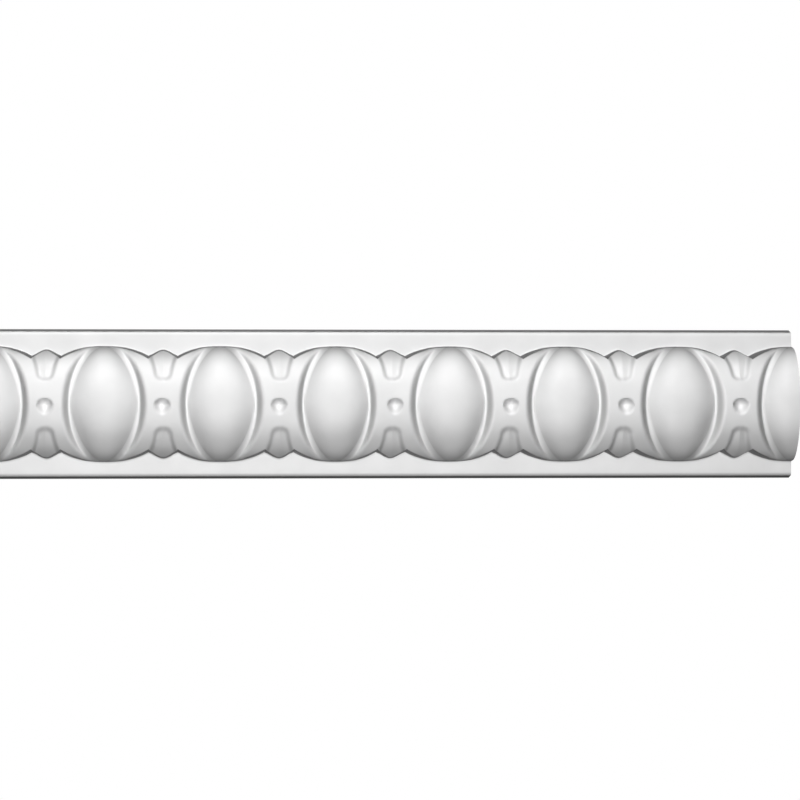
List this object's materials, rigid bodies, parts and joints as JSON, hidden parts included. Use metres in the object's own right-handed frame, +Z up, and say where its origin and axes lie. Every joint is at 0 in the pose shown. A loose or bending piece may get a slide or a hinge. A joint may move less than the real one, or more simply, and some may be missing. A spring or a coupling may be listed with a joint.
{
  "type": "egg and dart moulding",
  "caption": "Straight length of flexible moulding: flat strip with a half-round egg-and-dart roll, grooves beside the eggs, dimpled saddles and pointed tongues.",
  "frame": {"origin": "middle of the flat back, where the strip is glued on", "axes": "+X along the length, +Z up across the strip, +Y out of the back; the carved face looks towards -Y"},
  "size_m": [0.32, 0.0252, 0.06],
  "materials": {
    "primed_polyurethane": "smooth white primer, semi-matt"
  },
  "bodies": {
    "root": {"egg_and_dart_moulding": "primed_polyurethane"}
  },
  "joints": []
}
